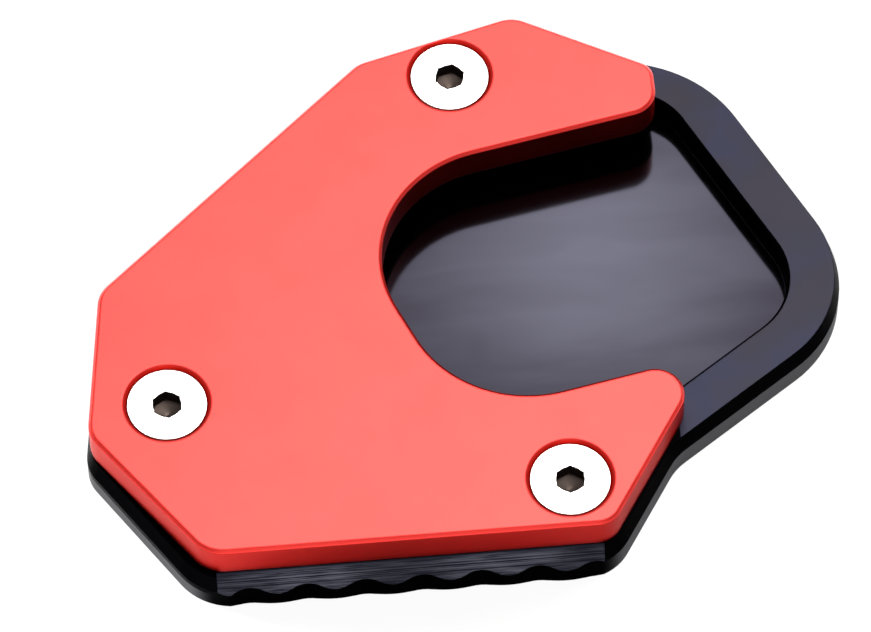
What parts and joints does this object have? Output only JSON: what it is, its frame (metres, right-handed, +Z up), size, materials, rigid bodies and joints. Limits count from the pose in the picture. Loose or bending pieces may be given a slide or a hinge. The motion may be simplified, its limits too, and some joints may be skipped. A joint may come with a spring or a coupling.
{
  "type": "side stand foot enlarger",
  "caption": "Foot enlarger for a motorbike side stand: a slotted clamp plate screwed over a pocketed base plate with a wavy front edge, widening the stand's foot for soft ground.",
  "frame": {"origin": "centre of the bounding box at the ground face", "axes": "+X along the straight wavy front edge towards the open end of the slot, +Y from the front edge to the back, +Z up from the ground"},
  "size_m": [0.1166, 0.0936, 0.0137],
  "materials": {
    "black_anodised": "satin black anodised, machined",
    "red_anodised": "satin red anodised",
    "screw_steel": "bright turned steel"
  },
  "bodies": {
    "root": {"base_plate": "black_anodised", "clamp_plate": "red_anodised", "countersunk_screws": "screw_steel"}
  },
  "joints": []
}
